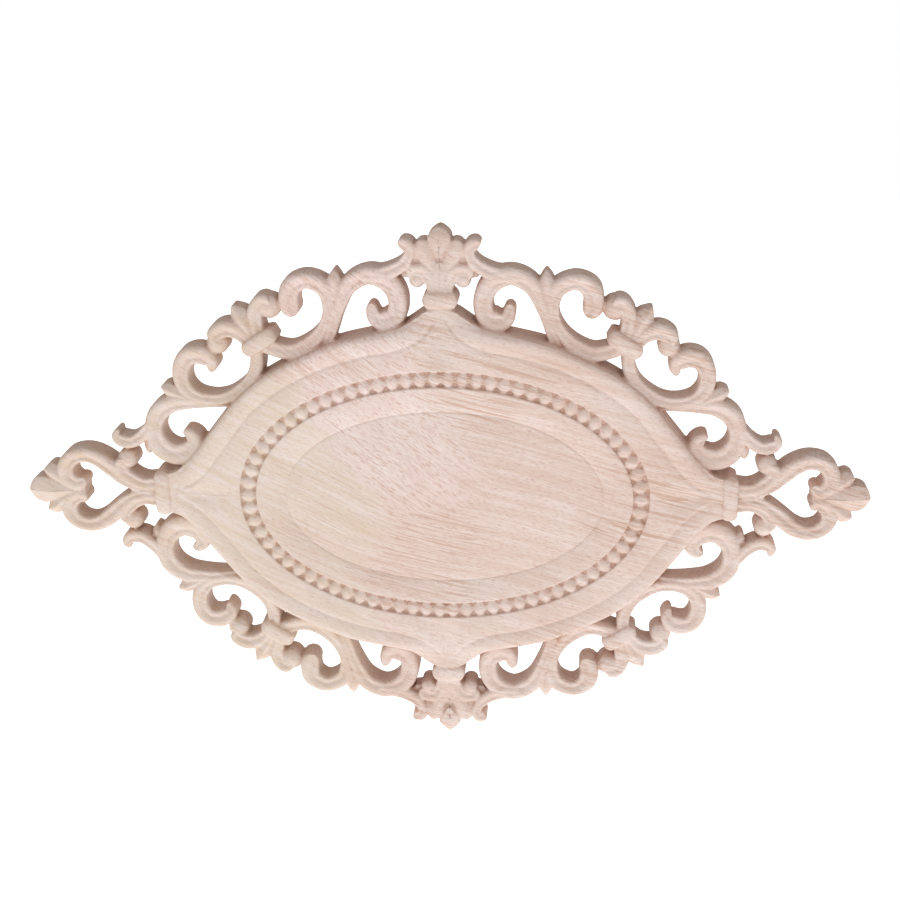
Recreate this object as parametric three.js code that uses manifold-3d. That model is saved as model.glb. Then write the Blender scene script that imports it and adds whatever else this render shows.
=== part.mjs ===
// An openwork carved wood applique: an oval beaded plate with scrollwork all round, in millimetres.
// +Z is up, +X to the right, the carving faces -Y and the flat back lies in the plane Y = 0.
// The origin is the middle of the back.
import * as THREE from 'three';
import { mergeVertices } from 'three/addons/utils/BufferGeometryUtils.js';
import Module from 'manifold-3d';

const wasm = await Module();
wasm.setup();

// Overall size, tip to tip
const width = 500;
const height = 320;

// How far the carving stands off the back
const scrollDepth = 15.5;
const collarDepth = 18.5;
const plateWallDepth = 17.6;
const rimShoulderDepth = 20.6;
const rimDepth = 22;
const rimGrooveDepth = 19.5;
const fieldDepth = 21;
const channelDepth = 18.5;
const panelDepth = 19.6;

// Where the rim's shoulder and crest run, as shares of the way from the plate's outline to the groove
const rimShoulderShare = 0.14;
const rimCrestShare = 0.4;

// The beaded oval of the plate
const beadOvalWidth = 232;
const beadOvalHeight = 146;
const beadDiameter = 7.9;
const beadGap = 0.2;
const beadSink = 0.8;
const beadClearance = 0.95;
const channelWidth = beadDiameter + 2 * beadClearance;
const channelWallLean = 0.4;
const panelBevel = 17;

// A knob is rounded over this share of its height, in two steps up to its top
const knobRounding = 0.6;
const knobStepOut = 0.6;
const knobStepUp = 0.8;

// How finely the carving is faceted
const turnPerStation = THREE.MathUtils.degToRad(51);
const longestStep = 80;
const widestStep = 20;
const samplesPerSpan = 12;
const shortestLastStep = 0.4;
const knobSides = 6;
const beadSides = 4;
const beadRings = 3;
const ovalSamples = 1000;
const weldDistance = 1e-4;

// Cross sections of the carved forms: a place across, from -1 outside to 1 inside, and a share of the depth
const fluted = [[-1, 0], [-0.8, 1], [0.2, 0.76], [1, 0.7], [1, 0]];
const ridged = [[-1, 0], [-1, 0.6], [0, 1], [1, 0.6], [1, 0]];
const rolled = [[-1, 0], [-0.9, 0.8], [-0.35, 1], [0.35, 1], [0.9, 0.8], [1, 0]];
const sunk = [[-1, 0], [-1, 1], [1, 1], [1, 0]];

// Each form runs through points [across, up, width, share of its depth], where a share not given is 1
// The outer side of a band is on its right, unless it says left
const quarterBands = [
  {
    name: 'first scroll, beside the upright fleur',
    path: [[70, 87, 7, 0.7], [64.8, 94.5, 6.5, 0.9], [58.3, 112, 6.8], [51.5, 126.5, 10.5], [40, 131.9, 10.8],
      [29, 127.4, 11.6], [24.2, 118, 11.2], [26, 108.2, 11.6], [32.2, 105.2, 13], [37.8, 107.6, 9, 0.95],
      [40, 114.6, 3, 0.8]],
  },
  {
    name: 'second scroll, from the slanting collar to its knob',
    left: true,
    path: [[104, 91, 8], [96.5, 88.5, 9], [87, 86.8, 9.6], [77, 90.5, 10], [68.4, 100, 7],
      [64.3, 111, 6], [66, 124, 9.8], [76.5, 128.9, 9.8], [85, 124.5, 11.6], [86.7, 117, 11.4],
      [84.8, 109.4, 9, 0.9]],
  },
  {
    name: 'third scroll, from the slanting collar to its hook',
    path: [[107, 90, 7], [107.1, 79, 8], [110.8, 70, 8], [117.6, 63.2, 8.4], [127, 58.7, 7.2],
      [137, 57.9, 7.2], [146.2, 61, 8], [151.6, 68, 9.4], [151.6, 77, 10.4], [147, 83.6, 11],
      [139.6, 84.4, 11.4], [133.9, 80, 8.8, 0.95], [134.6, 73.8, 3, 0.8]],
  },
  {
    name: 'fourth scroll, an S that curls back on the plate',
    left: true,
    path: [[123, 55, 6, 0.7], [133, 55.6, 6, 0.9], [147, 55.6, 7.4], [159.4, 54.4, 10.6], [168, 48.2, 11.4],
      [171, 38, 10.8], [167.4, 27.6, 13], [158.8, 23, 13.2], [150, 25.4, 13.2],
      [147, 32.2, 9.6], [150.6, 36.4, 6.4, 0.95], [154, 36.6, 3, 0.8]],
  },
  {
    name: 'twig off the fourth scroll',
    path: [[172.5, 42, 6], [178.8, 34.3, 7.2], [185.4, 30.5, 7.6, 0.95], [191, 31, 8, 0.9], [194, 34, 6, 0.9],
      [192.8, 38.3, 2, 0.8]],
  },
  {
    name: 'short scroll from the end collar to its knob',
    path: [[170, 5, 9, 1.1], [180, 5, 7.4, 1.05], [187.6, 8.1, 8.4], [192.8, 14.4, 8], [191.4, 20.4, 7]],
  },
  {
    name: 'half of the heart-shaped loop',
    left: true,
    path: [[170, 1.6, 4], [184, 2, 5.4], [193, 7, 8.4], [199.7, 14.4, 10.4], [206, 19.6, 9.6],
      [213.5, 22.3, 9.2], [221.4, 20.6, 9.6], [226.4, 14.6, 10], [225.6, 7.6, 10], [220, 4.2, 8.6],
      [215.2, 6.8, 5, 0.9]],
  },
  {
    name: 'left petal of the slanting fleur',
    path: [[103, 93, 7], [105.6, 101.5, 7.6], [106.4, 110.5, 8.8], [102.4, 116.6, 8.4], [97.6, 116, 8]],
  },
  {
    name: 'right petal of the slanting fleur',
    left: true,
    path: [[110, 92, 7], [117, 98.4, 9], [124.6, 100.2, 10.2], [130.6, 97, 9], [131.4, 93.4, 7]],
  },
  {
    name: 'arm from the first scroll into the outer leaf of the upright fleur',
    left: true,
    path: [[44, 132.6, 8], [33, 132.6, 8.6], [25.8, 135.2, 8], [20.4, 138.8, 7.2], [17.4, 143, 6.2],
      [16.6, 146.4, 6.4], [18.2, 149.2, 7.8], [23.2, 151.2, 3.8, 0.9]],
  },
  {
    name: 'curl of the upright fleur, round its knob',
    left: true,
    path: [[3, 118, 6, 1.1], [4.8, 128, 7, 1.1], [9, 134.6, 8, 1.1], [15, 135, 7, 1.05], [17, 130.6, 6]],
  },
];
const quarterLeaves = [
  {
    name: 'inner leaf of the upright fleur',
    path: [[2.6, 130, 5], [6.4, 140.6, 8.6], [9.2, 147.6, 11], [10.4, 152.4, 7, 0.9]],
  },
  {
    name: 'bud between the first and second scrolls',
    path: [[61, 118, 2], [60.2, 129.4, 7.6], [60, 135.2, 1, 0.8]],
  },
  {
    name: 'bud of the slanting fleur',
    path: [[107.6, 94, 5], [115.4, 107.2, 11.6], [119.8, 113.6, 1.6, 0.8]],
  },
  {
    name: 'bud between the third and fourth scrolls',
    path: [[150, 58.6, 3], [160.4, 63.3, 8], [165, 64.6, 2, 0.8]],
  },
  {
    name: 'drop under the fourth scroll',
    path: [[171.4, 33, 7, 0.9], [174.6, 27.4, 7.6, 0.9], [175.6, 23, 1.2, 0.7]],
  },
  {
    name: 'side leaf of the end palmette',
    path: [[224, 2, 6], [230, 7, 9], [235.6, 11.2, 10], [239.6, 13, 5, 0.85]],
  },
];
const quarterRolls = [
  {
    name: 'slanting collar',
    path: [[95.6, 98.4, 6, 0.9], [97.6, 97.2, 9.6], [112.2, 87.8, 9.6], [114.2, 86.4, 6, 0.9]],
  },
];
const quarterKnobs = [
  { name: 'end of the left petal', at: [98.6, 112.9], radius: 7 },
  { name: 'end of the right petal', at: [129.7, 91.1], radius: 6.5 },
  { name: 'end of the short scroll', at: [188.8, 19.6], radius: 6 },
  { name: 'knob of the upright fleur', at: [13, 129.4], radius: 4.5, share: 1.02 },
];

// What stands on the upright axis, drawn for the top and repeated at the bottom
const uprightPieces = [
  {
    name: 'end bud',
    section: ridged,
    path: [[0, 142, 1, 1.1], [0, 150.4, 11, 1.1], [0, 153.6, 13.2, 1.05], [0, 156.4, 10.4],
      [0, 160, 1, 0.85]],
  },
  {
    name: 'ground behind the leaves',
    section: sunk,
    path: [[0, 125, 16, 0.66], [0, 129.4, 18, 0.66], [0, 130.6, 43, 0.66], [0, 134.6, 45, 0.66],
      [0, 138, 41, 0.66], [0, 151, 34, 0.66]],
  },
  {
    name: 'stem',
    section: ridged,
    path: [[0, 108, 18, 0.7], [0, 113, 16, 1.05], [0, 133, 12, 1.02], [0, 140, 8, 0.95]],
  },
  {
    name: 'collar',
    section: rolled,
    depth: collarDepth,
    path: [[-10.2, 118.2, 6, 0.9], [-8.4, 118.2, 9.4], [8.4, 118.2, 9.4], [10.2, 118.2, 6, 0.9]],
  },
];

// What stands on the level axis, drawn for the right end and repeated at the left
const levelPieces = [
  {
    name: 'end bud',
    section: ridged,
    path: [[223, 0, 2], [230, 0, 7, 1.06], [240.4, 0, 16, 1.05], [247, 0, 10, 0.95], [250, 0, 1, 0.85]],
  },
  {
    name: 'ground behind the leaves',
    section: sunk,
    path: [[217.6, 0, 4, 0.8], [228, 0, 17, 0.8], [238, 0, 21, 0.75]],
  },
  { name: 'stem', section: ridged, path: [[162, 0, 20, 0.7], [174, 0, 16, 1.05], [191, 0, 3, 0.9]] },
  {
    name: 'collar',
    section: rolled,
    depth: collarDepth,
    path: [[168.6, -12.8, 5, 0.9], [168.6, -11, 8, 1.08], [168.6, 11, 8, 1.08], [168.6, 12.8, 5, 0.9]],
  },
];

// A quarter of the plate's outline and of the groove inside its rim, from the top collar to the end one
const plateOutline = [[0, 113.4], [8, 112.8], [16, 107.4], [30, 101.4], [46, 98], [62, 94], [82, 85.4],
  [104, 73.6], [121, 59], [135, 42], [150, 23], [159, 14.4], [168, 11], [168, 0]];
const grooveLine = [[0, 111], [7.1, 101], [14, 95.2], [25, 90.2], [42.8, 86.8], [60, 82], [78, 74.6],
  [95, 65], [109, 54], [121, 39.8], [132, 25.2], [144, 11.4], [156, 3.2], [162, 0]];

// The drawing of a quarter is scaled so that its tips reach the overall size
const drawnPoints = [...uprightPieces, ...levelPieces].flatMap(({ path }) => path);
const acrossScale = width / 2 / Math.max(...drawnPoints.map(([across]) => across));
const upScale = height / 2 / Math.max(...drawnPoints.map(([, up]) => up));
const strokeScale = (acrossScale + upScale) / 2;

// Turns rings of equal length into a closed solid, with a fan over each end
function closedLoft(rings) {
  const count = rings[0].length;
  const positions = rings.flat().flatMap(([x, y, z]) => [x, y, z]);
  const triangles = [];
  for (let ring = 0; ring < rings.length - 1; ring += 1) {
    for (let i = 0; i < count; i += 1) {
      const a = ring * count + i;
      const b = ring * count + ((i + 1) % count);
      triangles.push(a, b, a + count, b, b + count, a + count);
    }
  }
  const last = (rings.length - 1) * count;
  for (let i = 1; i < count - 1; i += 1) {
    triangles.push(0, i + 1, i, last, last + i, last + i + 1);
  }
  return facingOut({ positions, triangles });
}

// Turns the faces over where they enclose a negative volume
function facingOut({ positions, triangles }) {
  const corner = (i) => new THREE.Vector3().fromArray(positions, 3 * i);
  let volume = 0;
  for (let i = 0; i < triangles.length; i += 3) {
    const [a, b, c] = [0, 1, 2].map((k) => corner(triangles[i + k]));
    volume += a.dot(b.cross(c));
  }
  return volume < 0 ? { positions, triangles: triangles.toReversed() } : { positions, triangles };
}

// A drawn path at its real size
function scaled(path) {
  return path.map(([x, z, formWidth, share = 1]) => (
    [x * acrossScale, z * upScale, formWidth * strokeScale, share]
  ));
}

// The stations of a band along its curve: close together where it turns, far apart where it runs straight
function curvedStations(path) {
  const points = path.map(([x, z, bandWidth]) => new THREE.Vector3(x, bandWidth, z));
  const curve = new THREE.CatmullRomCurve3(points, false, 'centripetal');
  const spans = path.length - 1;
  const samples = spans * samplesPerSpan;
  const heading = (t) => {
    const { x, z } = curve.getTangent(t);
    return new THREE.Vector2(x, z).normalize();
  };
  const kept = [0];
  for (let i = 1; i <= samples; i += 1) {
    const [from, to] = [kept.at(-1), i / samples];
    const [start, end] = [curve.getPoint(from), curve.getPoint(to)];
    const turn = Math.acos(THREE.MathUtils.clamp(heading(from).dot(heading(to)), -1, 1));
    const step = Math.hypot(end.x - start.x, end.z - start.z);
    const widening = Math.abs(end.y - start.y);
    if (turn / turnPerStation + step / longestStep + widening / widestStep > 1) {
      kept.push(to);
    }
  }
  if (1 - kept.at(-1) < shortestLastStep / spans) {
    kept.pop();
  }
  return [...kept, 1].map((t) => {
    const { x, y, z } = curve.getPoint(t);
    const before = Math.min(Math.floor(t * spans), spans - 1);
    const [shareBefore, shareAfter] = [path[before][3], path[before + 1][3]];
    const share = THREE.MathUtils.lerp(shareBefore, shareAfter, t * spans - before);
    return { x, z, formWidth: y, share, heading: heading(t) };
  });
}

// The points of a straight form as they stand, with the heading of the line through their neighbours
function straightStations(path) {
  return path.map(([x, z, formWidth, share], i) => {
    const [before, after] = [path[Math.max(i - 1, 0)], path[Math.min(i + 1, path.length - 1)]];
    const heading = new THREE.Vector2(after[0] - before[0], after[1] - before[1]).normalize();
    return { x, z, formWidth, share, heading };
  });
}

// A carved form: its section runs along its path, on a smooth curve where it is a fluted band
function carved({ path, section, left = false, depth = scrollDepth }) {
  const side = left ? -1 : 1;
  const places = section === fluted ? curvedStations(scaled(path)) : straightStations(scaled(path));
  const rings = places.map(({ x, z, formWidth, share, heading }) => section.map(([across, rise]) => {
    const offset = (side * across * formWidth) / 2;
    return [x - heading.y * offset, -rise * share * depth, z + heading.x * offset];
  }));
  return closedLoft(rings);
}

// A round knob with a domed top
function knob({ at: [x, z], radius: drawnRadius, share = 1 }) {
  const tall = share * scrollDepth;
  const radius = drawnRadius * strokeScale;
  const rounding = Math.min(radius, tall * knobRounding);
  const profile = [
    new THREE.Vector2(0, 0),
    new THREE.Vector2(radius, 0),
    new THREE.Vector2(radius, tall - rounding),
    new THREE.Vector2(radius * knobStepOut, tall - rounding * (1 - knobStepUp)),
    new THREE.Vector2(0, tall),
  ];
  const geometry = new THREE.LatheGeometry(profile, knobSides);
  geometry.rotateX(Math.PI);
  geometry.translate(x * acrossScale, 0, z * upScale);
  return plain(geometry);
}

// Positions and triangles of a three.js geometry whose shared corners are merged
function plain(geometry) {
  geometry.deleteAttribute('normal');
  geometry.deleteAttribute('uv');
  const merged = mergeVertices(geometry, weldDistance);
  const positions = Array.from(merged.attributes.position.array);
  return facingOut({ positions, triangles: Array.from(merged.index.array) });
}

// The line of a quarter, carried round all four quarters as one closed loop
function fullLoop(points) {
  const quarters = [[1, 1], [1, -1], [-1, -1], [-1, 1]];
  return quarters.flatMap(([sideX, sideZ]) => {
    const run = sideX * sideZ > 0 ? points : points.toReversed();
    return run.slice(0, -1).map(([x, z]) => [sideX * x * acrossScale, sideZ * z * upScale]);
  });
}

// The plate, ring by ring: up its wall, over the rim, through the bead channel and down to the sunk panel
function plate() {
  const outline = fullLoop(plateOutline);
  const groove = fullLoop(grooveLine);
  const between = (share) => outline.map(([x, z], i) => [
    THREE.MathUtils.lerp(x, groove[i][0], share),
    THREE.MathUtils.lerp(z, groove[i][1], share),
  ]);
  const oval = (inset) => groove.map(([x, z]) => {
    const angle = Math.atan2(z / beadOvalHeight, x / beadOvalWidth);
    return [(beadOvalWidth / 2 - inset) * Math.cos(angle), (beadOvalHeight / 2 - inset) * Math.sin(angle)];
  });
  const levels = [
    [outline, 0],
    [outline, plateWallDepth],
    [between(rimShoulderShare), rimShoulderDepth],
    [between(rimCrestShare), rimDepth],
    [groove, rimGrooveDepth],
    [oval(-channelWidth / 2), fieldDepth],
    [oval(channelWallLean - channelWidth / 2), channelDepth],
    [oval(channelWidth / 2 - channelWallLean), channelDepth],
    [oval(channelWidth / 2), fieldDepth],
    [oval(channelWidth / 2 + panelBevel), panelDepth],
  ];
  return closedLoft(levels.map(([ring, depth]) => ring.map(([x, z]) => [x, -depth, z])));
}

// As many beads as fit round the oval, at equal distances
function beads() {
  const oval = new THREE.EllipseCurve(0, 0, beadOvalWidth / 2, beadOvalHeight / 2);
  oval.arcLengthDivisions = ovalSamples;
  const count = Math.round(oval.getLength() / (beadDiameter + beadGap));
  return oval.getSpacedPoints(count).slice(0, count).map(bead);
}

function bead({ x, y }) {
  const geometry = new THREE.SphereGeometry(beadDiameter / 2, beadSides, beadRings);
  geometry.translate(x, beadSink - channelDepth, y);
  return plain(geometry);
}

// The form on another side of the axes, where sideX and sideZ are 1 or -1
function mirrored({ positions, triangles }, sideX, sideZ) {
  const sides = [sideX, 1, sideZ];
  return facingOut({ positions: positions.map((value, i) => sides[i % 3] * value), triangles });
}

function solid({ positions, triangles }) {
  return new wasm.Manifold(new wasm.Mesh({
    numProp: 3,
    vertProperties: new Float32Array(positions),
    triVerts: new Uint32Array(triangles),
  }));
}

function carvedApplique() {
  const quarter = [
    ...quarterBands.map((piece) => carved({ section: fluted, ...piece })),
    ...quarterLeaves.map((piece) => carved({ section: ridged, ...piece })),
    ...quarterRolls.map((piece) => carved({ section: rolled, depth: collarDepth, ...piece })),
    ...quarterKnobs.map(knob),
  ];
  const signs = [1, -1];
  const forms = [
    plate(),
    ...beads(),
    ...signs.flatMap((side) => signs.flatMap((end) => quarter.map((form) => mirrored(form, side, end)))),
    ...uprightPieces.map(carved).flatMap((form) => signs.map((side) => mirrored(form, 1, side))),
    ...levelPieces.map(carved).flatMap((form) => signs.map((side) => mirrored(form, side, 1))),
  ];
  const whole = forms.map(solid).reduce((sum, form) => sum.add(form));
  const { vertProperties, triVerts } = whole.getMesh();
  const geometry = new THREE.BufferGeometry();
  geometry.setAttribute('position', new THREE.BufferAttribute(vertProperties, 3));
  geometry.setIndex(new THREE.BufferAttribute(triVerts, 1));
  return geometry;
}

const rubberwood = new THREE.MeshStandardMaterial({ color: 0xe3cdbd, roughness: 0.75, metalness: 0 });

const applique = new THREE.Mesh(carvedApplique(), rubberwood);
applique.name = 'carved_applique';

const group = new THREE.Group();
group.add(applique);

export default group;
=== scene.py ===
# An openwork carved wood applique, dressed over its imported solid: fine carving, wood, light and camera.
# Everything is in the solid's own frame: +X across, +Z up, the carving faces -Y. Values are in millimetres.
import math

import bpy
import numpy as np
from mathutils import Matrix, Vector


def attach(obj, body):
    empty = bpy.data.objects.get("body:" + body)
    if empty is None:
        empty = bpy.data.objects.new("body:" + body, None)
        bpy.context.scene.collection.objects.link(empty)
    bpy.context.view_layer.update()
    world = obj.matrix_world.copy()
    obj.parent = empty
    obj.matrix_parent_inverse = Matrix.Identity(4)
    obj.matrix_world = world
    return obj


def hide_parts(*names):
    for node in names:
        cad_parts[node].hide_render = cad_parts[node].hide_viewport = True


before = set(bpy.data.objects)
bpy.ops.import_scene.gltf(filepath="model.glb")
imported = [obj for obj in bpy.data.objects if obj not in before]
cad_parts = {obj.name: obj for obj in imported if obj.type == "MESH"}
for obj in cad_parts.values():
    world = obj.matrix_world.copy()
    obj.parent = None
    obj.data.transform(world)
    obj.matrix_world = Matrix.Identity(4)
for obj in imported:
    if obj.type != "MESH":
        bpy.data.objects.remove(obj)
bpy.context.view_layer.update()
mm = 0.001

# How finely the carving is made
fineness = {
    "stationStep": 0.7,        # between two sections of a band
    "pathSamples": 40,         # on each span of a band's path
    "outlineSamples": 20,      # on each span of the plate's lines
    "placesAcross": 27,        # in a section
    "plateColumns": 60,        # along a quarter of the plate
    "ovalSamples": 721,        # along a quarter of the bead oval
    "knob": (32, 24),          # faces round it, and from end to end
    "bead": (24, 16),
    "voxel": 0.45,             # the forms are melted into one skin on this grid
    "triangles": 186000,       # what the finished piece is thinned towards
    "soften": 0.5,
    "smoothing": 2,
    "merge": 0.02,             # what lies this near an axis is joined to its mirror image
    "backSnap": 1.2,           # what lies this near the back is laid flat on it
    "crispAngle": 50,          # an edge sharper than this stays crisp, in degrees
}

depths = {"scroll": 15.5, "collar": 18.5}

# How a form is laid along its path
layValues = {
    "fewestSteps": 4,
    "bendSpread": 5,           # stations over which the bend is evened out
    "endReach": .5,            # the end is rounded over this share of its width
    "endLimit": .96,           # and stops short of a point
    "lowestRise": .5,
    "straight": 1e-4,          # a bend under this is none
    "innerFrom": .6,           # the inner side is held back from this share of the bend's radius on
    "innerRoom": .34,
}

# Forms of a quarter. Points are across, up, width and share of the depth, where a share not given is 1.
# The outer side of a band is on its right, unless it says left.
quarterBands = {
    "firstScroll": {
        "path": [(70, 87, 7, .7), (64.8, 94.5, 6.5, .9), (58.3, 112, 6.8), (51.5, 126.5, 10.5),
                 (40, 131.9, 10.8), (29, 127.4, 11.6), (24.2, 118, 11.2), (26, 108.2, 11.6),
                 (32.2, 105.2, 13), (37.8, 107.6, 9, .97), (40, 115.6, 5.2, .86)]},
    "secondScroll": {
        "left": True,
        "path": [(104, 91, 8), (96.5, 88.5, 9), (87, 86.8, 9.6), (77, 90.5, 10), (68.4, 100, 7),
                 (64.3, 111, 6), (66, 124, 9.8), (76.5, 128.9, 9.8), (85, 124.5, 11.6),
                 (86.7, 117, 11.6), (84.6, 107.8, 11.4, .93)]},
    "thirdScroll": {
        "path": [(107, 90, 7), (107.1, 79, 8), (110.8, 70, 8), (117.6, 63.2, 8.4), (127, 58.7, 7.2),
                 (137, 57.9, 7.2), (146.2, 61, 8), (151.6, 68, 9.4), (151.6, 77, 10.4), (147, 83.6, 11),
                 (139.6, 84.4, 11.4), (133.9, 80, 8.8, .95), (134.6, 73.8, 3, .8)]},
    "fourthScroll": {
        "left": True,
        "path": [(123, 55, 6, .7), (133, 55.6, 6, .9), (147, 55.6, 7.4), (159.4, 54.4, 10.6),
                 (168, 48.2, 11.4), (171, 38, 10.8), (167.4, 27.6, 13), (158.8, 23, 13.2),
                 (150, 25.4, 13.2), (147, 32.2, 9.6), (150.6, 36.4, 6.4, .95), (154, 36.6, 3, .8)]},
    "twig": {
        "path": [(172.5, 42, 6), (178.8, 34.3, 7.2), (185.4, 30.5, 7.6, .95), (191, 31, 8, .9),
                 (194, 34, 6, .9), (192.8, 38.3, 2, .8)]},
    "shortScroll": {
        "path": [(170, 5, 9, 1.1), (180, 5, 7.4, 1.05), (187.6, 8.1, 8.4), (192.8, 14.4, 8),
                 (191.4, 20.4, 7)]},
    "heartLoop": {
        "left": True,
        "path": [(170, 1.6, 4), (181.4, 2.2, 5.2), (190.8, 6.6, 8), (198.6, 13.8, 10.2),
                 (206, 19.6, 9.8), (213.5, 22.3, 9.2), (221.4, 20.6, 9.6), (226.4, 14.6, 10),
                 (225.6, 7.6, 10), (220, 4.2, 8.6), (215.2, 6.8, 5, .9)]},
    "leftPetal": {
        "path": [(103, 93, 7), (105.6, 101.5, 7.6), (106.4, 110.5, 8.8), (102.4, 116.6, 8.4),
                 (97.6, 116, 8)]},
    "rightPetal": {
        "left": True,
        "path": [(110, 92, 7), (117, 98.4, 9), (124.6, 100.2, 10.2), (130.6, 97, 9), (131.4, 93.4, 7)]},
    "arm": {
        "left": True,
        "path": [(44, 132.6, 8), (33, 132.6, 8.6), (25.8, 135.2, 8), (20.4, 138.8, 7.2),
                 (17.4, 143, 6.2), (16.6, 146.4, 6.4), (18.2, 149.2, 7.8), (20.6, 150.4, 6.6, .95),
                 (23.2, 151.2, 3.8, .9)]},
    "fleurCurl": {
        "left": True,
        "path": [(3, 118, 6, 1.02), (4.8, 128, 7, 1.02), (9, 134.6, 8, 1.02), (15, 135, 7),
                 (17, 130.6, 6, .95)]},
}
quarterLeaves = {
    "innerLeaf": {"kind": "petal", "path": [(2.6, 130, 5, .95), (6.4, 140.6, 8.6),
                                            (9.2, 147.6, 11, .98), (10.4, 152.4, 9.4, .9)]},
    "upperBud": {"path": [(61, 118, 2), (60.2, 129.4, 7.6), (60, 135.2, 1, .8)]},
    "slantingBud": {"path": [(107.6, 94, 5), (115.4, 107.2, 11.6), (119.8, 113.6, 1.6, .8)]},
    "sideBud": {"path": [(150, 58.6, 3), (160.4, 63.3, 8), (165, 64.6, 2, .8)]},
    "drop": {"path": [(171.4, 33, 7, .9), (174.6, 27.4, 7.6, .9), (175.6, 23, 1.2, .7)]},
    "palmetteLeaf": {"path": [(224, 2, 6), (230, 7, 9), (235.6, 11.2, 10, .98), (239.6, 13, 6, .86)]},
}
quarterCollars = {
    "slantingCollar": {"path": [(95.6, 98.4, 5.8, .82), (97.6, 97.2, 8.8, .95), (105.8, 92.2, 9.6),
                                (112.2, 87.8, 8.8, .95), (114.2, 86.4, 5.8, .82)]},
}
quarterKnobs = {
    "leftPetalKnob": {"at": (98.6, 112.9), "radius": 7, "share": 1},
    "rightPetalKnob": {"at": (129.7, 91.1), "radius": 6.5, "share": 1},
    "shortScrollKnob": {"at": (188.8, 19.6), "radius": 6, "share": 1},
    "fleurKnob": {"at": (13, 129.4), "radius": 4.5, "share": 1.02},
}

# Forms that stand on the two axes
axisForms = {
    "topBud": {"kind": "bud", "path": [(0, 142, 1, 1.1), (0, 146.2, 6.2, 1.1), (0, 150.4, 11, 1.1),
                                       (0, 153.6, 13.2, 1.06), (0, 156.4, 10.4, 1),
                                       (0, 158.6, 5.4, .92), (0, 160, 1.4, .84)]},
    "topGround": {"kind": "flat", "path": [(0, 121, 12, .66), (0, 129.4, 18, .66), (0, 130.6, 43, .66),
                                           (0, 134.6, 45, .66), (0, 138, 41, .76), (0, 146, 34, .88),
                                           (0, 151, 34, .86)]},
    "topStem": {"kind": "stem", "path": [(0, 108, 18, .7), (0, 113, 16, 1.06), (0, 126, 14, 1.06),
                                         (0, 133, 12, 1.02), (0, 140, 8, .94)]},
    "topCollar": {"kind": "collar", "path": [(-10.2, 118.2, 6, .84), (-8.4, 118.2, 9, .96),
                                             (0, 118.2, 9.6), (8.4, 118.2, 9, .96),
                                             (10.2, 118.2, 6, .84)]},
    "endBud": {"kind": "bud", "path": [(223, 0, 2, 1), (230, 0, 7.4, 1.06), (236, 0, 13.6, 1.08),
                                       (240.6, 0, 16.4, 1.05), (244.8, 0, 15, .99), (248, 0, 10.6, .92),
                                       (250, 0, 3.6, .84)]},
    "endGround": {"kind": "flat", "path": [(215.8, 0, 5, .84), (221, 0, 12, .88), (228, 0, 17, .88),
                                           (238, 0, 21, .78)]},
    "endStem": {"kind": "stem", "path": [(162, 0, 20, .7), (174, 0, 16, 1.05), (188, 0, 3, .9)]},
    "endCollar": {"kind": "collar", "path": [(167.8, -14.2, 5.4, .88), (167.8, -12, 8.4, 1.04),
                                             (167.8, 0, 9, 1.1), (167.8, 12, 8.4, 1.04),
                                             (167.8, 14.2, 5.4, .88)]},
}


def wake(obj):
    bpy.ops.object.select_all(action='DESELECT')
    obj.select_set(True)
    bpy.context.view_layer.objects.active = obj


def applyModifiers(obj):
    wake(obj)
    for name in [m.name for m in obj.modifiers]:
        bpy.ops.object.modifier_apply(modifier=name)


# A closed skin through rings of points, in millimetres, with a face over each end
def loft(name, rings):
    rings = np.asarray(rings, float)
    count, around = rings.shape[:2]
    i = np.arange(around)
    quads = []
    for ring in range(count - 1):
        a = ring * around + i
        b = ring * around + (i + 1) % around
        quads += np.stack([a, b, b + around, a + around], 1).tolist()
    ends = [list(range(around))[::-1], list(range((count - 1) * around, count * around))]
    mesh = bpy.data.meshes.new(name)
    mesh.from_pydata((rings.reshape(-1, 3) * mm).tolist(), [], quads + ends)
    obj = bpy.data.objects.new(name, mesh)
    bpy.context.scene.collection.objects.link(obj)
    wake(obj)
    bpy.ops.object.mode_set(mode='EDIT')
    bpy.ops.mesh.select_all(action='SELECT')
    bpy.ops.mesh.normals_make_consistent(inside=False)
    bpy.ops.object.mode_set(mode='OBJECT')
    return obj


# A smooth line through points, with as many numbers a point as they have
def smoothLine(points, perSpan):
    p = np.array(points, float)
    p = np.vstack([2 * p[0] - p[1], p, 2 * p[-1] - p[-2]])
    found = []
    for i in range(1, len(p) - 2):
        p0, p1, p2, p3 = p[i - 1:i + 3]
        pairs = ((p0, p1), (p1, p2), (p2, p3))
        d0, d1, d2 = [max(np.linalg.norm(b[:3] - a[:3]), 1e-6) ** .5 for a, b in pairs]
        t1 = ((p1 - p0) / d0 - (p2 - p0) / (d0 + d1) + (p2 - p1) / d1) * d1
        t2 = ((p2 - p1) / d1 - (p3 - p1) / (d1 + d2) + (p3 - p2) / d2) * d1
        for t in np.arange(perSpan) / perSpan:
            square = (3 * (p2 - p1) - 2 * t1 - t2) * t ** 2
            cube = (2 * (p1 - p2) + t1 + t2) * t ** 3
            found.append(p1 + t1 * t + square + cube)
    return np.array(found + [p[-2]])


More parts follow.
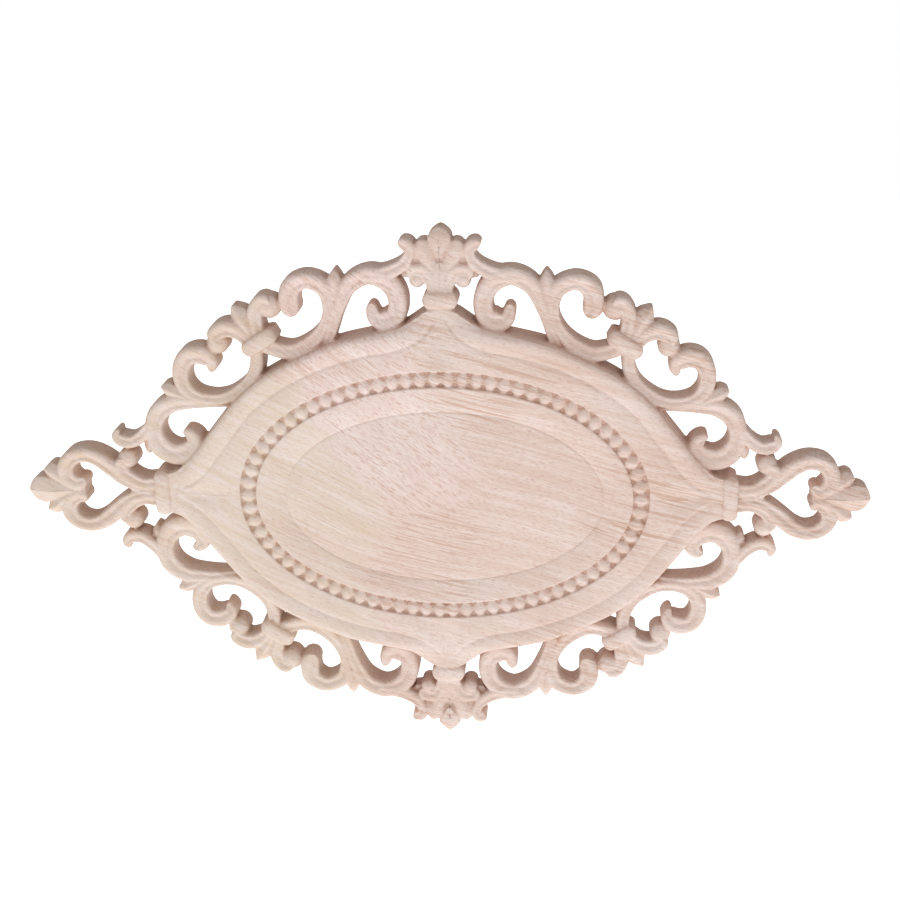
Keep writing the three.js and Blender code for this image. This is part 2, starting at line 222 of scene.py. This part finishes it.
# Even stations along a path, with the heading and the bend at each
def stations(path, step):
    full = [(*q, 1) if len(q) == 3 else q for q in path]
    line = smoothLine([(x, z, w, s) for x, z, w, s in full], fineness["pathSamples"])
    run = np.concatenate([[0], np.cumsum(np.hypot(*np.diff(line[:, :2], axis=0).T))])
    even = np.linspace(0, run[-1], max(int(run[-1] / step), layValues["fewestSteps"]) + 1)
    x, z, width, share = [np.interp(even, run, line[:, k]) for k in range(4)]
    dx, dz = np.gradient(x, even), np.gradient(z, even)
    size = np.hypot(dx, dz)
    dx, dz = dx / size, dz / size
    bend = np.gradient(np.unwrap(np.arctan2(dz, dx)), even)
    spread = layValues["bendSpread"]
    bend = np.convolve(np.pad(bend, spread // 2, mode='edge'), np.ones(spread) / spread, mode='valid')
    rest = (even[-1] - even) / (layValues["endReach"] * width[-1])
    width = width * np.sqrt(1 - np.clip(1 - rest, 0, layValues["endLimit"]) ** 2)
    return x, z, width, share, dx, dz, bend


# How far a rounded form has fallen, from none in the middle to all at its edge
def fall(x, power=2.3):
    return 1 - np.clip(1 - np.abs(x) ** power, 0, 1) ** (1 / power)


# Where two numbers go together, they are a share of the form's width and the most that it comes to
sectionValues = {
    "scroll": {"crest": -.4, "valley": .28, "roll": .62, "shoulder": (.42, 4.6), "innerShoulder": (.3, 3.2),
               "crease": (.17, 1.8), "sink": .07},
    "leaf": {"fall": (.42, 4.5), "power": 1.4},
    "bud": {"fall": (.26, 2.8), "power": 1.2},
    "petal": {"fall": (.24, 2.2), "power": 2},
    "collar": {"fall": (.34, 3), "power": 2.8},
    "flat": {"fall": .8, "power": 8},
    "stem": {"fall": 1.8, "power": 3, "ripple": .35, "ripples": 4},
}


def upTo(width, shareAndMost):
    share, most = shareAndMost
    return min(share * width, most)


# Sections: how far the surface lies under the form's top, at a place across from -1, outside, to 1, inside
def scrollSection(u, width):
    v = sectionValues["scroll"]
    crest, valley, roll = v["crest"], v["valley"], v["roll"]
    shoulder, innerShoulder = upTo(width, v["shoulder"]), upTo(width, v["innerShoulder"])
    crease, sink = upTo(width, v["crease"]), v["sink"] * width
    outer = shoulder * fall((crest - u) / (crest + 1))
    slope = crease * np.clip((u - crest) / (valley - crest), 0, 1) ** 2
    rise = sink + (crease - sink) * np.clip((roll - u) / (roll - valley), 0, 1) ** 2
    inner = sink + innerShoulder * fall((u - roll) / (1 - roll))
    return np.select([u <= crest, u <= valley, u <= roll], [outer, slope, rise], inner)


def leafSection(u, width):
    v = sectionValues["leaf"]
    return upTo(width, v["fall"]) * np.abs(u) ** v["power"]


def budSection(u, width):
    v = sectionValues["bud"]
    return upTo(width, v["fall"]) * np.abs(u) ** v["power"]


def petalSection(u, width):
    v = sectionValues["petal"]
    return upTo(width, v["fall"]) * np.abs(u) ** v["power"]


def collarSection(u, width):
    v = sectionValues["collar"]
    return upTo(width, v["fall"]) * fall(u, v["power"])


def flatSection(u, width):
    v = sectionValues["flat"]
    return v["fall"] * fall(u, v["power"])


def stemSection(u, width):
    v = sectionValues["stem"]
    return v["fall"] * fall(u, v["power"]) + v["ripple"] * (1 - np.cos(v["ripples"] * np.pi * u))


sections = {"scroll": scrollSection, "leaf": leafSection, "collar": collarSection, "flat": flatSection,
            "stem": stemSection, "bud": budSection, "petal": petalSection}
across = -np.cos(np.linspace(0, np.pi, fineness["placesAcross"]))


def carvedForm(name, path, kind, left=False):
    depth = depths["collar" if kind == "collar" else "scroll"]
    side = -1 if left else 1
    start, room = layValues["innerFrom"], layValues["innerRoom"]
    rings = []
    for x, z, width, share, dx, dz, bend in zip(*stations(path, fineness["stationStep"])):
        top = share * depth
        rise = np.maximum(top - sections[kind](across, width), layValues["lowestRise"])
        offset = side * across * width / 2
        turn = offset * bend                          # 1 where the inner side reaches the middle of the bend
        turn = np.where(turn > start, start + room * np.tanh((turn - start) / room), turn)
        if abs(bend) > layValues["straight"]:
            offset = turn / bend
        offset = np.concatenate([offset[:1], offset, offset[-1:]])
        rise = np.concatenate([[0], rise, [0]])
        rings.append(np.stack([x - dz * offset, -rise, z + dx * offset], 1))
    return loft(name, rings)


def knob(name, at, radius, share):
    top = share * depths["scroll"]
    around, ends = fineness["knob"]
    bpy.ops.mesh.primitive_uv_sphere_add(segments=around, ring_count=ends, radius=radius * mm,
                                         location=(at[0] * mm, -(top - radius) * mm, at[1] * mm))
    ball = bpy.context.object
    bpy.ops.mesh.primitive_cylinder_add(vertices=around, radius=radius * mm, depth=(top - radius) * mm,
                                        location=(at[0] * mm, -(top - radius) / 2 * mm, at[1] * mm),
                                        rotation=(math.pi / 2, 0, 0))
    ball.name = name
    bpy.context.object.name = name + "Foot"
    return [ball, bpy.context.object]


# The plate with its rim, bead channel and sunk panel
plateValues = {
    "outline": [(0, 113.4), (8, 112.8), (13, 109.8), (22, 103.8), (30, 101.4), (42, 99), (62, 94), (82, 85.4),
                (104, 73.6), (121, 59), (135, 42), (150, 23), (159, 14.4), (168, 11), (168, 0)],
    "groove": [(0, 112), (3.4, 106.4), (7.1, 101), (13.2, 95.6), (21.7, 91.4), (30.7, 88.8), (42.8, 86.8),
               (60, 82), (75, 76.2), (93.6, 66), (101, 60.8), (112, 51.2), (121, 39.8), (131, 26.6),
               (141.5, 13.6), (150, 6.6), (158, 2.6), (162, 0)],
    "wall": 17.6,
    "wallLean": .06,                                  # as a share of the way from the outline to the groove
    "rim": 21.4,
    "crest": .36,
    "wallSteps": 10,
    "crestSteps": 6,
    "crestEnd": .96,
    "crestDrop": .9,
    "tips": {"across": (138, 164), "up": (94, 112), "drop": 4},
    "creaseDepth": 20,
    "pastCrease": ((1.06, .5), (1.14, .1)),           # a share of the way, and how far under the field
    "field": 21,
    "beadOval": (116, 73),
    "channelHalf": 4.85,
    "channelLean": .4,
    "channelFloor": 18.1,
    "panelOval": (94.6, 54),
    "panel": 19.6,
    "lip": .9,
    "line": {"rise": .1, "width": .7, "depth": .9},   # the fine line cut round the panel
    "cutPast": 4,                                     # how far past the axes it is made
    "beads": 74,
    "bead": (4.16, 3.5, 4.95),                        # half its size along the oval, in depth and across
    "beadCentre": 17.9,
    "shortOfTop": .1,
}


def quarterLoop(points, columns):
    spread = smoothLine([(x, z, 0) for x, z in points], fineness["outlineSamples"])[:, :2]
    run = np.concatenate([[0], np.cumsum(np.hypot(*np.diff(spread, axis=0).T))])
    even = np.linspace(0, run[-1], columns + 1)
    return np.stack([np.interp(even, run, spread[:, k]) for k in range(2)], 1)


# The quarter line carried round all four quarters
def fullLoop(quarter):
    loop = []
    for sx, sz in ((1, 1), (1, -1), (-1, -1), (-1, 1)):
        part = quarter if sx * sz > 0 else quarter[::-1]
        loop.append(part[:-1] * (sx, sz))
    return np.concatenate(loop)


# From 0 at low to 1 at high, with soft ends
def ramp(x, low, high):
    t = np.clip((x - low) / (high - low), 0, 1)
    return t * t * (3 - 2 * t)


def makePlate(v):
    outline, groove = [fullLoop(quarterLoop(v[k], fineness["plateColumns"])) for k in ("outline", "groove")]

    def oval(rx, rz):
        angle = np.arctan2(groove[:, 1] / v["beadOval"][1], groove[:, 0] / v["beadOval"][0])
        return np.stack([rx * np.cos(angle), rz * np.sin(angle)], 1)

    bx, bz = v["beadOval"]
    half, lean = v["channelHalf"], v["channelLean"]
    levels = [(outline, 0)]
    for ease in np.linspace(0, 1, v["wallSteps"]):
        share = v["wallLean"] + (v["crest"] - v["wallLean"]) * ease
        depth = v["rim"] - (v["rim"] - v["wall"]) * fall(1 - ease, 2)
        levels.append((outline + (groove - outline) * share, depth))
    for ease in np.linspace(0, 1, v["crestSteps"])[1:]:
        share = v["crest"] + (v["crestEnd"] - v["crest"]) * ease
        levels.append((outline + (groove - outline) * share, v["rim"] - v["crestDrop"] * ease ** 3))
    levels.append((groove, v["creaseDepth"]))
    for share, under in v["pastCrease"]:
        levels.append((outline + (groove - outline) * share, v["field"] - under))
    line = v["line"]
    levels += [
        (oval(bx + half, bz + half), v["field"]),
        (oval(bx + half - lean, bz + half - lean), v["channelFloor"]),
        (oval(bx - half + lean, bz - half + lean), v["channelFloor"]),
        (oval(bx - half, bz - half), v["field"]),
        (oval(bx - half - v["lip"], bz - half - v["lip"]), v["field"]),
        (oval(*v["panelOval"]), v["panel"] + line["rise"]),
        (oval(*[r - line["width"] for r in v["panelOval"]]), v["panel"] - line["depth"]),
        (oval(*[r - 2 * line["width"] for r in v["panelOval"]]), v["panel"]),
    ]
    rings = []
    for ring, depth in levels:
        sinking = v["tips"]["drop"] * np.maximum(ramp(np.abs(ring[:, 0]), *v["tips"]["across"]),
                                                 ramp(np.abs(ring[:, 1]), *v["tips"]["up"]))
        sunk = np.where(depth > v["wall"], np.maximum(depth - sinking, v["wall"]), depth)
        rings.append(np.stack([ring[:, 0], -sunk, ring[:, 1]], 1))
    return loft("plate", rings)


# Beads at equal distances round the oval, from the right-hand end to just short of the top
def makeBeads(v):
    angle = np.linspace(0, math.pi / 2, fineness["ovalSamples"])
    x, z = v["beadOval"][0] * np.cos(angle), v["beadOval"][1] * np.sin(angle)
    heading = np.arctan2(np.gradient(z), np.gradient(x))
    run = np.concatenate([[0], np.cumsum(np.hypot(np.diff(x), np.diff(z)))])
    places = np.arange(0, run[-1] - v["shortOfTop"], run[-1] / (v["beads"] / 4))
    around, ends = fineness["bead"]
    made = []
    for place in places:
        bpy.ops.mesh.primitive_uv_sphere_add(
            segments=around, ring_count=ends, radius=mm, scale=v["bead"],
            location=(np.interp(place, run, x) * mm, -v["beadCentre"] * mm, np.interp(place, run, z) * mm),
            rotation=(0, -np.interp(place, run, heading), 0))
        bpy.context.object.name = "bead"
        made.append(bpy.context.object)
    return made


# Cuts a shape flat a little beyond an axis, so that a quarter and its neighbours can be made alike
def cutPast(obj, axis, past):
    wake(obj)
    bpy.ops.object.mode_set(mode='EDIT')
    bpy.ops.mesh.select_all(action='SELECT')
    normal = [0, 0, 0]
    normal[axis] = 1
    point = [0, 0, 0]
    point[axis] = -past * mm
    bpy.ops.mesh.bisect(plane_co=point, plane_no=normal, use_fill=True, clear_inner=True)
    bpy.ops.object.mode_set(mode='OBJECT')


def makeCarving():
    parts = [makePlate(plateValues)]
    for axis in (0, 2):
        cutPast(parts[0], axis, plateValues["cutPast"])
    parts += makeBeads(plateValues)
    for kind, forms in (("scroll", quarterBands), ("leaf", quarterLeaves), ("collar", quarterCollars)):
        for name, form in forms.items():
            parts.append(carvedForm(name, form["path"], form.get("kind", kind), form.get("left", False)))
    for name, form in axisForms.items():
        parts.append(carvedForm(name, form["path"], form["kind"]))
    for name, form in quarterKnobs.items():
        parts += knob(name, **form)
    print("forms of a quarter:", len(parts))

    bpy.ops.object.select_all(action='DESELECT')
    for part in parts:
        part.select_set(True)
    bpy.context.view_layer.objects.active = parts[0]
    bpy.ops.object.join()
    carving = bpy.context.object
    carving.name = "applique_carving"
    bpy.ops.object.transform_apply(location=True, rotation=True, scale=True)

    melt = carving.modifiers.new("melt", 'REMESH')
    melt.mode = 'VOXEL'
    melt.voxel_size = fineness["voxel"] * mm
    applyModifiers(carving)
    print("melted faces:", len(carving.data.polygons))
    soften = carving.modifiers.new("soften", 'SMOOTH')
    soften.factor = fineness["soften"]
    soften.iterations = fineness["smoothing"]
    thin = carving.modifiers.new("thin", 'DECIMATE')
    kept = fineness["triangles"] / 4                  # a quarter of the piece, and two triangles to a face
    thin.ratio = kept / (2 * len(carving.data.polygons))
    applyModifiers(carving)
    print("thinned faces:", len(carving.data.polygons))
    spread = carving.modifiers.new("spread", 'MIRROR')
    spread.use_axis = (True, False, True)
    spread.use_bisect_axis = (True, False, True)
    spread.merge_threshold = fineness["merge"] * mm
    applyModifiers(carving)
    points = np.zeros(len(carving.data.vertices) * 3)
    carving.data.vertices.foreach_get("co", points)
    depth = points[1::3]
    depth[depth > -fineness["backSnap"] * mm] = 0
    carving.data.vertices.foreach_set("co", points)
    carving.data.update()
    wake(carving)
    bpy.ops.object.shade_smooth_by_angle(angle=math.radians(fineness["crispAngle"]))
    print("faces:", len(carving.data.polygons))
    return carving


carving = makeCarving()
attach(carving, "root")
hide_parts("carved_applique")

# The wood: three glued boards of bare sanded rubberwood. Lengths are in millimetres, angles in degrees
woodValues = {
    "boards": {
        "left": {"angle": -27, "pale": (.805, .7, .66), "dark": (.72, .59, .475), "streak": (60, 3.6),
                 "flecks": .6, "veins": .4, "seed": 11},
        "middle": {"angle": -38, "pale": (.845, .735, .695), "dark": (.765, .61, .55), "streak": (34, 3.4),
                   "flecks": .9, "veins": .5, "seed": 47},
        "right": {"angle": -15, "pale": (.83, .715, .67), "dark": (.72, .565, .485), "streak": (90, 3.2),
                  "flecks": .75, "veins": .8, "seed": 83},
    },
    "leftJoint": [(-115, -40), (-60, -46), (-51, -51), (-24, -31), (-8, -33), (4, -42), (17, -57), (39, -68),
                  (60, -80), (115, -96)],             # each point is up, across
    "rightJoint": [(-115, -40), (-60, -46), (-51, -51), (-24, -31), (-11, -26), (-7, 4), (-2, 21), (16, 24),
                   (40, 2), (62, -10), (115, -20)],
    "feather": 16,                                    # how far the grain of one board runs into the next
    "wave": 2.2,
    "fleckSize": (3.4, .42),
    "fleckTone": (.56, .33, .24),
    "veinTone": (.6, .4, .3),
    "sawnWallAndShadeTone": (.8, .69, .62),                       # the upright walls: sawn end grain, and painted shade that deepens towards the back, where less light reaches them
    # painted shade in recesses, creases and the pits between beads, from ambient occlusion
    "recessShadeTone": (.66, .42, .27),
    "recessShadeReach": 3.4,
    "tint": (.975, .935, .915),                       # large soft patches, a little darker
    "patches": {"scale": .012, "range": (.35, .65)},
    "lineShare": .5,
    "fleckShare": .6,
    "rightFeather": 1.6,
    "upright": (.6, .2),                              # how far a face is turned to the front or back
    # painted shade on the upright walls, darker towards the back
    "deep": {"range": (-15, -2), "shares": (.45, 1)},
    # how strongly the painted shade in recesses is laid on
    "recess": {"range": (.3, .85), "share": .42, "samples": 12},
    "bump": {"strength": .35, "distance": .12},
    "roughness": (.58, .74),
}

# The grain of a board: sizes along it, in depth and across it, and the part of the noise that shows
grainValues = {
    "broad": {"scale": (.011, .02, .028), "detail": 1, "range": (.36, .6)},
    "streaks": {"deep": 9, "detail": 3, "roughness": .6, "range": (.3, .72)},
    "flecks": {"deep": 1.4, "detail": 1, "roughness": .4, "range": (.57, .65)},
    "lines": {"long": 26, "wide": .8, "deep": 2.4, "detail": 2, "roughness": .55, "range": (.3, .7)},
    "veins": {"long": 38, "wide": 1.1, "deep": 4, "detail": 2, "roughness": .5, "range": (.5, .66)},
    "waveShare": 4,
}


def place(tree, kind, inputs=None, **settings):
    node = tree.nodes.new(kind)
    for key, value in settings.items():
        setattr(node, key, value)
    for key, value in (inputs or {}).items():
        if isinstance(value, bpy.types.NodeSocket):
            tree.links.new(value, node.inputs[key])
        else:
            node.inputs[key].default_value = value
    return node


def sum1(tree, operation, *values):
    return place(tree, 'ShaderNodeMath', dict(enumerate(values)), operation=operation).outputs[0]


def vector1(tree, operation, *values):
    return place(tree, 'ShaderNodeVectorMath', dict(enumerate(values)), operation=operation).outputs[0]


def noise1(tree, vector, detail=2, roughness=.5):
    return place(tree, 'ShaderNodeTexNoise', {"Vector": vector, "Scale": 1, "Detail": detail,
                                              "Roughness": roughness}).outputs["Fac"]


def range1(tree, value, low, high, to=(0, 1)):
    limits = {"Value": value, "From Min": low, "From Max": high, "To Min": to[0], "To Max": to[1]}
    return place(tree, 'ShaderNodeMapRange', limits, interpolation_type='SMOOTHSTEP').outputs["Result"]


def mix1(tree, blend, factor, a, b):
    node = place(tree, 'ShaderNodeMix', data_type='RGBA', blend_type=blend)
    for index, value in ((0, factor), (6, a), (7, b)):
        if isinstance(value, bpy.types.NodeSocket):
            tree.links.new(value, node.inputs[index])
        else:
            node.inputs[index].default_value = value
    return node.outputs[2]


def colour(rgb):
    return (*rgb, 1)


# Grain of one board: its streaks, its short brown pores and its fine lines, each from 0 to 1
def makeGrainGroup():
    tree = bpy.data.node_groups.new("board grain", 'ShaderNodeTree')
    tree.interface.new_socket("Place", in_out='INPUT', socket_type='NodeSocketVector')
    for name in ("Turn", "Streak Length", "Streak Width", "Wave", "Seed", "Fleck Length", "Fleck Width"):
        tree.interface.new_socket(name, in_out='INPUT', socket_type='NodeSocketFloat')
    for name in ("Streaks", "Flecks", "Lines", "Veins"):
        tree.interface.new_socket(name, in_out='OUTPUT', socket_type='NodeSocketFloat')
    given = tree.nodes.new('NodeGroupInput').outputs
    v = grainValues

    def joined(inputs):
        return place(tree, 'ShaderNodeCombineXYZ', inputs).outputs[0]

    turn = joined({"Y": given["Turn"]})
    shift = joined({"X": given["Seed"], "Y": given["Seed"], "Z": given["Seed"]})
    turned = {"Vector": given["Place"], "Rotation": turn, "Location": shift}
    along = place(tree, 'ShaderNodeMapping', turned).outputs[0]
    broad = noise1(tree, vector1(tree, 'MULTIPLY', along, v["broad"]["scale"]), v["broad"]["detail"])
    wave = sum1(tree, 'MULTIPLY', given["Wave"], v["waveShare"])
    bend = sum1(tree, 'MULTIPLY', sum1(tree, 'SUBTRACT', broad, .5), wave)
    along = vector1(tree, 'ADD', along, joined({"Z": bend}))

    def stretched(name, length, width):
        shares = [sum1(tree, 'DIVIDE', 1, c) for c in (length, v[name]["deep"], width)]
        spot = vector1(tree, 'MULTIPLY', along, joined(dict(enumerate(shares))))
        return noise1(tree, spot, v[name]["detail"], v[name]["roughness"])

    streaks = stretched("streaks", given["Streak Length"], given["Streak Width"])
    flecks = stretched("flecks", given["Fleck Length"], given["Fleck Width"])
    lines = stretched("lines", v["lines"]["long"], v["lines"]["wide"])
    veins = stretched("veins", v["veins"]["long"], v["veins"]["wide"])
    out = tree.nodes.new('NodeGroupOutput').inputs
    tree.links.new(range1(tree, streaks, *v["streaks"]["range"]), out["Streaks"])
    tree.links.new(range1(tree, flecks, *v["flecks"]["range"]), out["Flecks"])
    tree.links.new(range1(tree, lines, *v["lines"]["range"]), out["Lines"])
    patches = range1(tree, broad, *v["broad"]["range"])
    shown = range1(tree, veins, *v["veins"]["range"])
    tree.links.new(sum1(tree, 'MULTIPLY', shown, patches), out["Veins"])
    return tree


# 1 to the right of a joint that runs up the object, 0 to its left
def rightOf(tree, across, up, joint, feathering):
    low, high = joint[0][0], joint[-1][0]
    limits = {"Value": up, "From Min": low, "From Max": high}
    share = place(tree, 'ShaderNodeMapRange', limits).outputs["Result"]
    curve = place(tree, 'ShaderNodeValToRGB', {"Fac": share})
    reach = 100                                       # the joint lies within this of the middle
    soft = 3
    stops = curve.color_ramp.elements
    while len(stops) < len(joint):
        stops.new(.5)
    for stop, (height, _) in zip(stops, joint):
        stop.position = (height - low) / (high - low)
    for stop, (_, side) in zip(stops, joint):
        grey = (side + reach) / (2 * reach)
        stop.color = (grey, grey, grey, 1)
    line = sum1(tree, 'SUBTRACT', sum1(tree, 'MULTIPLY', curve.outputs["Color"], 2 * reach), reach)
    beyond = sum1(tree, 'SUBTRACT', across, line)
    return range1(tree, sum1(tree, 'ADD', beyond, feathering), -soft, soft)


def makeWood(v):
    material = bpy.data.materials.new("bare rubberwood")
    material.use_nodes = True
    tree = material.node_tree
    surface = tree.nodes["Principled BSDF"]
    group = makeGrainGroup()
    own = place(tree, 'ShaderNodeTexCoord').outputs["Object"]
    spot = vector1(tree, 'MULTIPLY', own, (1000, 1000, 1000))
    axes = place(tree, 'ShaderNodeSeparateXYZ', {0: spot}).outputs

    boards = {}
    for name, b in v["boards"].items():
        grain = place(tree, 'ShaderNodeGroup', node_tree=group)
        tree.links.new(spot, grain.inputs["Place"])
        for key, value in (("Turn", math.radians(b["angle"])), ("Streak Length", b["streak"][0]),
                           ("Streak Width", b["streak"][1]), ("Wave", v["wave"]), ("Seed", b["seed"]),
                           ("Fleck Length", v["fleckSize"][0]), ("Fleck Width", v["fleckSize"][1])):
            grain.inputs[key].default_value = value
        tone = mix1(tree, 'MIX', grain.outputs["Streaks"], colour(b["pale"]), colour(b["dark"]))
        fine = sum1(tree, 'MULTIPLY', grain.outputs["Lines"], v["lineShare"])
        tone = mix1(tree, 'MIX', fine, tone, colour(b["dark"]))
        tone = mix1(tree, 'MIX', sum1(tree, 'MULTIPLY', grain.outputs["Veins"], b["veins"]), tone,
                    colour(v["veinTone"]))
        flecks = sum1(tree, 'MULTIPLY', grain.outputs["Flecks"], v["fleckShare"] * b["flecks"])
        tone = mix1(tree, 'MIX', flecks, tone, colour(v["fleckTone"]))
        boards[name] = {"tone": tone, "grain": grain.outputs}

    uneven = sum1(tree, 'SUBTRACT', boards["left"]["grain"]["Lines"], .5)
    feathering = sum1(tree, 'MULTIPLY', uneven, v["feather"])
    rightFeathering = sum1(tree, 'MULTIPLY', feathering, v["rightFeather"])
    pastLeft = rightOf(tree, axes["X"], axes["Z"], v["leftJoint"], feathering)
    pastRight = rightOf(tree, axes["X"], axes["Z"], v["rightJoint"], rightFeathering)
    tone = mix1(tree, 'MIX', pastLeft, boards["left"]["tone"], boards["middle"]["tone"])
    tone = mix1(tree, 'MIX', pastRight, tone, boards["right"]["tone"])
    patches = noise1(tree, vector1(tree, 'MULTIPLY', spot, [v["patches"]["scale"]] * 3), 2)
    tone = mix1(tree, 'MULTIPLY', range1(tree, patches, *v["patches"]["range"]), tone, colour(v["tint"]))
    # Painted shade: upright walls darkened, the more so towards the back, together with their sawn end grain
    normal = place(tree, 'ShaderNodeTexCoord').outputs["Normal"]
    facing = place(tree, 'ShaderNodeSeparateXYZ', {0: normal}).outputs["Y"]
    upright = range1(tree, sum1(tree, 'ABSOLUTE', facing), *v["upright"])
    deep = range1(tree, axes["Y"], *v["deep"]["range"], v["deep"]["shares"])
    tone = mix1(tree, 'MULTIPLY', sum1(tree, 'MULTIPLY', upright, deep), tone, colour(v["sawnWallAndShadeTone"]))
    # Painted shade: recesses, creases and the pits between beads darkened by ambient occlusion
    recess = place(tree, 'ShaderNodeAmbientOcclusion', {"Distance": v["recessShadeReach"] * mm},
                   samples=v["recess"]["samples"])
    shade = range1(tree, recess.outputs["AO"], *v["recess"]["range"], (1, 0))
    shade = sum1(tree, 'MULTIPLY', shade, v["recess"]["share"])
    tone = mix1(tree, 'MULTIPLY', shade, tone, colour(v["recessShadeTone"]))
    tree.links.new(tone, surface.inputs["Base Color"])

    height = sum1(tree, 'SUBTRACT', boards["right"]["grain"]["Lines"], boards["middle"]["grain"]["Flecks"])
    rough = range1(tree, boards["right"]["grain"]["Lines"], 0, 1, v["roughness"])
    tree.links.new(rough, surface.inputs["Roughness"])
    bump = place(tree, 'ShaderNodeBump', {"Height": height, "Strength": v["bump"]["strength"],
                                          "Distance": v["bump"]["distance"] * mm})
    tree.links.new(bump.outputs["Normal"], surface.inputs["Normal"])
    return material


wood = makeWood(woodValues)
carving.data.materials.clear()
carving.data.materials.append(wood)
print("wood is made")

# The pale floor, the white room, the light and the camera
stageValues = {
    "floor": -600,
    "reach": 4000,
    "glow": 1.0,
    "floorTone": .9,
    "ambient": .49,
    "key": {"at": (-60, -1450, 600), "size": 800, "watts": 3.72},
}


def makeFloor(v):
    bpy.ops.mesh.primitive_plane_add(size=2 * v["reach"] * mm, location=(0, 0, v["floor"] * mm))
    floor = bpy.context.object
    floor.name = "floor"
    white = bpy.data.materials.new("white floor")
    white.use_nodes = True
    surface = white.node_tree.nodes["Principled BSDF"]
    surface.inputs["Base Color"].default_value = colour([v["floorTone"]] * 3)
    surface.inputs["Emission Color"].default_value = (1, 1, 1, 1)
    surface.inputs["Emission Strength"].default_value = v["glow"]
    floor.data.materials.append(white)


# The room is pure white to look at, and lights the wood more softly than that
def makeRoom(v):
    room = bpy.data.worlds.new("white room")
    room.use_nodes = True
    background = room.node_tree.nodes["Background"]
    seen = place(room.node_tree, 'ShaderNodeLightPath').outputs["Is Camera Ray"]
    strength = range1(room.node_tree, seen, 0, 1, (v["ambient"], v["glow"]))
    background.inputs["Color"].default_value = (1, 1, 1, 1)
    room.node_tree.links.new(strength, background.inputs["Strength"])
    bpy.context.scene.world = room


makeFloor(stageValues)
makeRoom(stageValues)
bpy.context.scene.view_settings.view_transform = 'Standard'


def areaLight(name, at, size, watts):
    bpy.ops.object.light_add(type='AREA', location=[c * mm for c in at])
    light = bpy.context.object
    light.name = name
    light.data.shape = 'DISK'
    light.data.size = size * mm
    light.data.energy = watts
    light.rotation_euler = (-Vector(at)).to_track_quat('-Z', 'Y').to_euler()


areaLight("key", **stageValues["key"])

cameraValues = {"at": (79.07, -834.3, 332.6), "tilt": .3547, "turn": -.0489, "roll": .0068, "lens": 60,
                "sensor": 36, "shift": (-.0667, 0)}


def makeCamera(v):
    data = bpy.data.cameras.new("camera")
    data.lens = v["lens"]
    data.sensor_width = v["sensor"]
    data.shift_x, data.shift_y = v["shift"]
    camera = bpy.data.objects.new("camera", data)
    bpy.context.scene.collection.objects.link(camera)
    ct, st = math.cos(v["tilt"]), math.sin(v["tilt"])
    cu, su = math.cos(v["turn"]), math.sin(v["turn"])
    forward = Vector((su * ct, cu * ct, -st))
    right = Vector((cu, -su, 0))
    down = forward.cross(right)
    cr, sr = math.cos(v["roll"]), math.sin(v["roll"])
    xAxis = cr * right + sr * down
    yAxis = sr * right - cr * down
    turned = Matrix((xAxis, yAxis, -forward)).transposed().to_4x4()
    camera.matrix_world = Matrix.Translation(Vector(v["at"]) * mm) @ turned
    bpy.context.scene.camera = camera


makeCamera(cameraValues)
print("stage, light and camera are in place")
